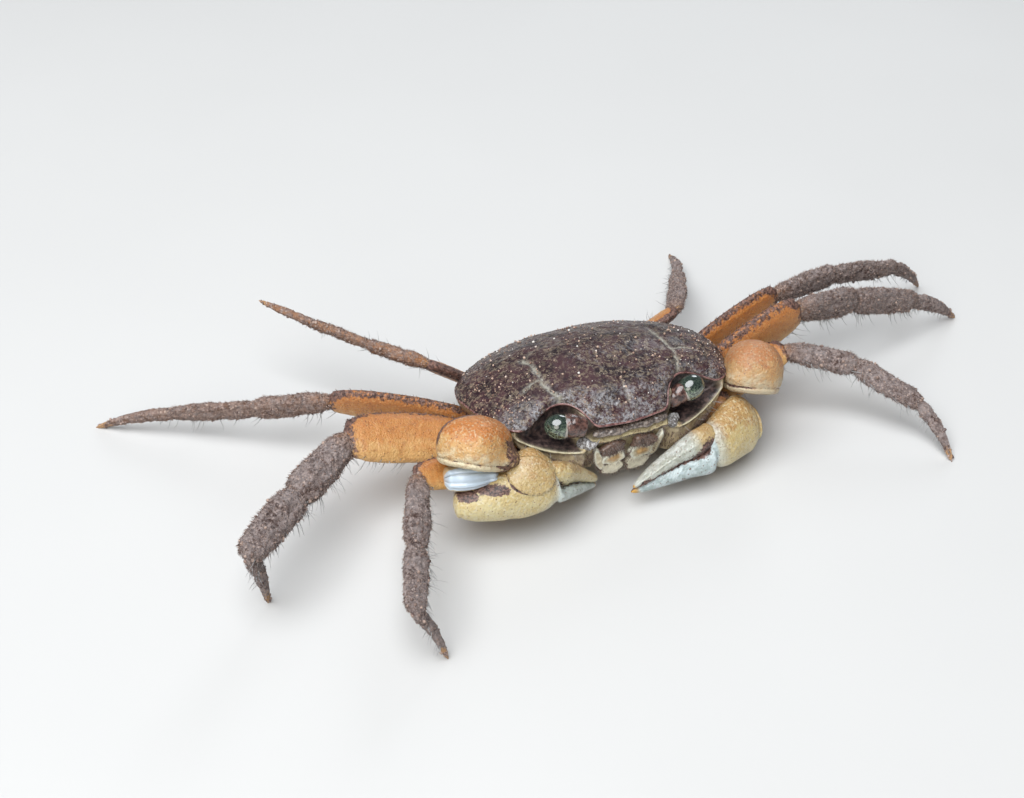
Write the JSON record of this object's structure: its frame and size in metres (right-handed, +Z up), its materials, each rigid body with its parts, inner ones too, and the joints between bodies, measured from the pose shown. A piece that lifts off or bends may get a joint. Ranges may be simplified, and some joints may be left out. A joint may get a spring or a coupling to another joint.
{
  "type": "land crab",
  "caption": "Small land crab standing alert, claws folded before the mouth, dark domed shell, orange arms and crusted brown legs.",
  "frame": {"origin": "centre of the bounding box, at the level of the feet", "axes": "the face looks to -Y, +X is the crab's left side and the way the legs spread, +Z is up"},
  "size_m": [0.0968, 0.049, 0.0132],
  "materials": {
    "shell": "satin",
    "underside": "satin",
    "cornea": "gloss",
    "stalk": "satin",
    "mouth_plates": "satin",
    "claw": "satin",
    "orange_shell": "satin",
    "leg_crust": "matte"
  },
  "bodies": {
    "root": {"abdomen": "underside", "antenna_left": "mouth_plates", "antenna_right": "mouth_plates", "arm_left": "orange_shell", "arm_right": "orange_shell", "carapace": "shell", "eye_left": "cornea", "eye_right": "cornea", "eyestalk_left": "stalk", "eyestalk_right": "stalk", "finger_left": "claw", "finger_right": "claw", "leg2_base_left": "orange_shell", "leg2_base_right": "orange_shell", "leg2_carpus_left": "leg_crust", "leg2_carpus_right": "leg_crust", "leg2_dactyl_left": "leg_crust", "leg2_dactyl_right": "leg_crust", "leg2_merus_left": "orange_shell", "leg2_merus_right": "orange_shell", "leg2_propodus_left": "leg_crust", "leg2_propodus_right": "leg_crust", "leg3_base_left": "orange_shell", "leg3_base_right": "orange_shell", "leg3_carpus_left": "leg_crust", "leg3_carpus_right": "leg_crust", "leg3_dactyl_left": "leg_crust", "leg3_dactyl_right": "leg_crust", "leg3_merus_left": "orange_shell", "leg3_merus_right": "orange_shell", "leg3_propodus_left": "leg_crust", "leg3_propodus_right": "leg_crust", "leg4_base_left": "orange_shell", "leg4_base_right": "orange_shell", "leg4_carpus_left": "leg_crust", "leg4_carpus_right": "leg_crust", "leg4_dactyl_left": "leg_crust", "leg4_dactyl_right": "leg_crust", "leg4_merus_left": "orange_shell", "leg4_merus_right": "orange_shell", "leg4_propodus_left": "leg_crust", "leg4_propodus_right": "leg_crust", "leg5_base_left": "orange_shell", "leg5_base_right": "orange_shell", "leg5_carpus_left": "leg_crust", "leg5_carpus_right": "leg_crust", "leg5_dactyl_left": "leg_crust", "leg5_dactyl_right": "leg_crust", "leg5_merus_left": "orange_shell", "leg5_merus_right": "orange_shell", "leg5_propodus_left": "leg_crust", "leg5_propodus_right": "leg_crust", "mouthpart_left": "mouth_plates", "mouthpart_right": "mouth_plates", "palm_left": "claw", "palm_right": "claw", "thorax": "underside", "wrist_left": "orange_shell", "wrist_right": "orange_shell"}
  },
  "joints": []
}
